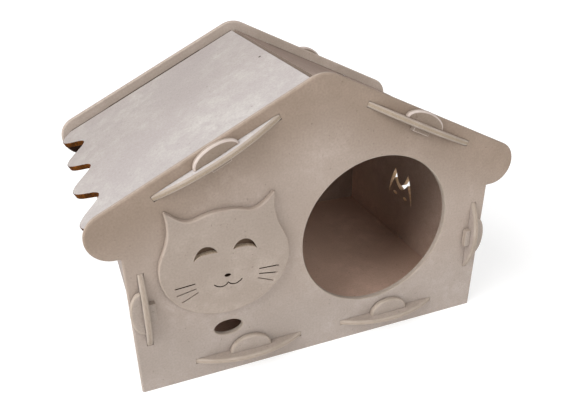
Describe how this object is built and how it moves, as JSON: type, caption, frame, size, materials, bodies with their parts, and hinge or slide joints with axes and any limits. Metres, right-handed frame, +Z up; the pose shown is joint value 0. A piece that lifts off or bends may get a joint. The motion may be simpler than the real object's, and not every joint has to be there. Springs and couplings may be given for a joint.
{
  "type": "cat house",
  "caption": "Flat-pack indoor cat house of slotted board with a round door, cat-face plate, wavy eaves and pull-out locking keys.",
  "frame": {"origin": "on the ground, under the middle of the house", "axes": "+X to the right as seen from the front, +Y from the front to the back, +Z up"},
  "size_m": [0.459, 0.3144, 0.308],
  "materials": {
    "gable_board": "bare matt fibreboard, warm grey-beige",
    "roof_board": "bare matt fibreboard, scorched brown along the wavy eave",
    "wall_board": "bare matt fibreboard",
    "floor_board": "bare matt fibreboard",
    "face_plate": "bare matt fibreboard with scorched cut lines",
    "key_board": "bare matt fibreboard with softened rims"
  },
  "bodies": {
    "house": {"front_gable": "gable_board", "back_gable": "gable_board", "left_roof": "roof_board", "right_roof": "roof_board", "left_wall": "wall_board", "right_wall": "wall_board", "floor_panel": "floor_board", "cat_face": "face_plate"},
    "front_left_roof_key": {"front_left_roof_key": "key_board"},
    "front_right_roof_key": {"front_right_roof_key": "key_board"},
    "front_left_wall_key": {"front_left_wall_key": "key_board"},
    "front_right_wall_key": {"front_right_wall_key": "key_board"},
    "front_left_floor_key": {"front_left_floor_key": "key_board"},
    "front_right_floor_key": {"front_right_floor_key": "key_board"},
    "back_left_roof_key": {"back_left_roof_key": "key_board"},
    "back_right_roof_key": {"back_right_roof_key": "key_board"},
    "back_left_wall_key": {"back_left_wall_key": "key_board"},
    "back_right_wall_key": {"back_right_wall_key": "key_board"},
    "back_left_floor_key": {"back_left_floor_key": "key_board"},
    "back_right_floor_key": {"back_right_floor_key": "key_board"}
  },
  "joints": [
    {"name": "front_left_roof_key_pull", "type": "slide", "parent": "house", "child": "front_left_roof_key", "axis": [-0.4363, 0, 0.8998], "range_m": [0, 0.011]},
    {"name": "front_right_roof_key_pull", "type": "slide", "parent": "house", "child": "front_right_roof_key", "axis": [0.4363, 0, 0.8998], "range_m": [0, 0.011]},
    {"name": "front_left_wall_key_pull", "type": "slide", "parent": "house", "child": "front_left_wall_key", "axis": [-1, 0, 0], "range_m": [0, 0.013]},
    {"name": "front_right_wall_key_pull", "type": "slide", "parent": "house", "child": "front_right_wall_key", "axis": [1, 0, 0], "range_m": [0, 0.013]},
    {"name": "front_left_floor_key_pull", "type": "slide", "parent": "house", "child": "front_left_floor_key", "axis": [0, 0, 1], "range_m": [0, 0.013]},
    {"name": "front_right_floor_key_pull", "type": "slide", "parent": "house", "child": "front_right_floor_key", "axis": [0, 0, 1], "range_m": [0, 0.013]},
    {"name": "back_left_roof_key_pull", "type": "slide", "parent": "house", "child": "back_left_roof_key", "axis": [-0.4363, 0, 0.8998], "range_m": [0, 0.011]},
    {"name": "back_right_roof_key_pull", "type": "slide", "parent": "house", "child": "back_right_roof_key", "axis": [0.4363, 0, 0.8998], "range_m": [0, 0.011]},
    {"name": "back_left_wall_key_pull", "type": "slide", "parent": "house", "child": "back_left_wall_key", "axis": [-1, 0, 0], "range_m": [0, 0.013]},
    {"name": "back_right_wall_key_pull", "type": "slide", "parent": "house", "child": "back_right_wall_key", "axis": [1, 0, 0], "range_m": [0, 0.013]},
    {"name": "back_left_floor_key_pull", "type": "slide", "parent": "house", "child": "back_left_floor_key", "axis": [0, 0, 1], "range_m": [0, 0.013]},
    {"name": "back_right_floor_key_pull", "type": "slide", "parent": "house", "child": "back_right_floor_key", "axis": [0, 0, 1], "range_m": [0, 0.013]}
  ]
}
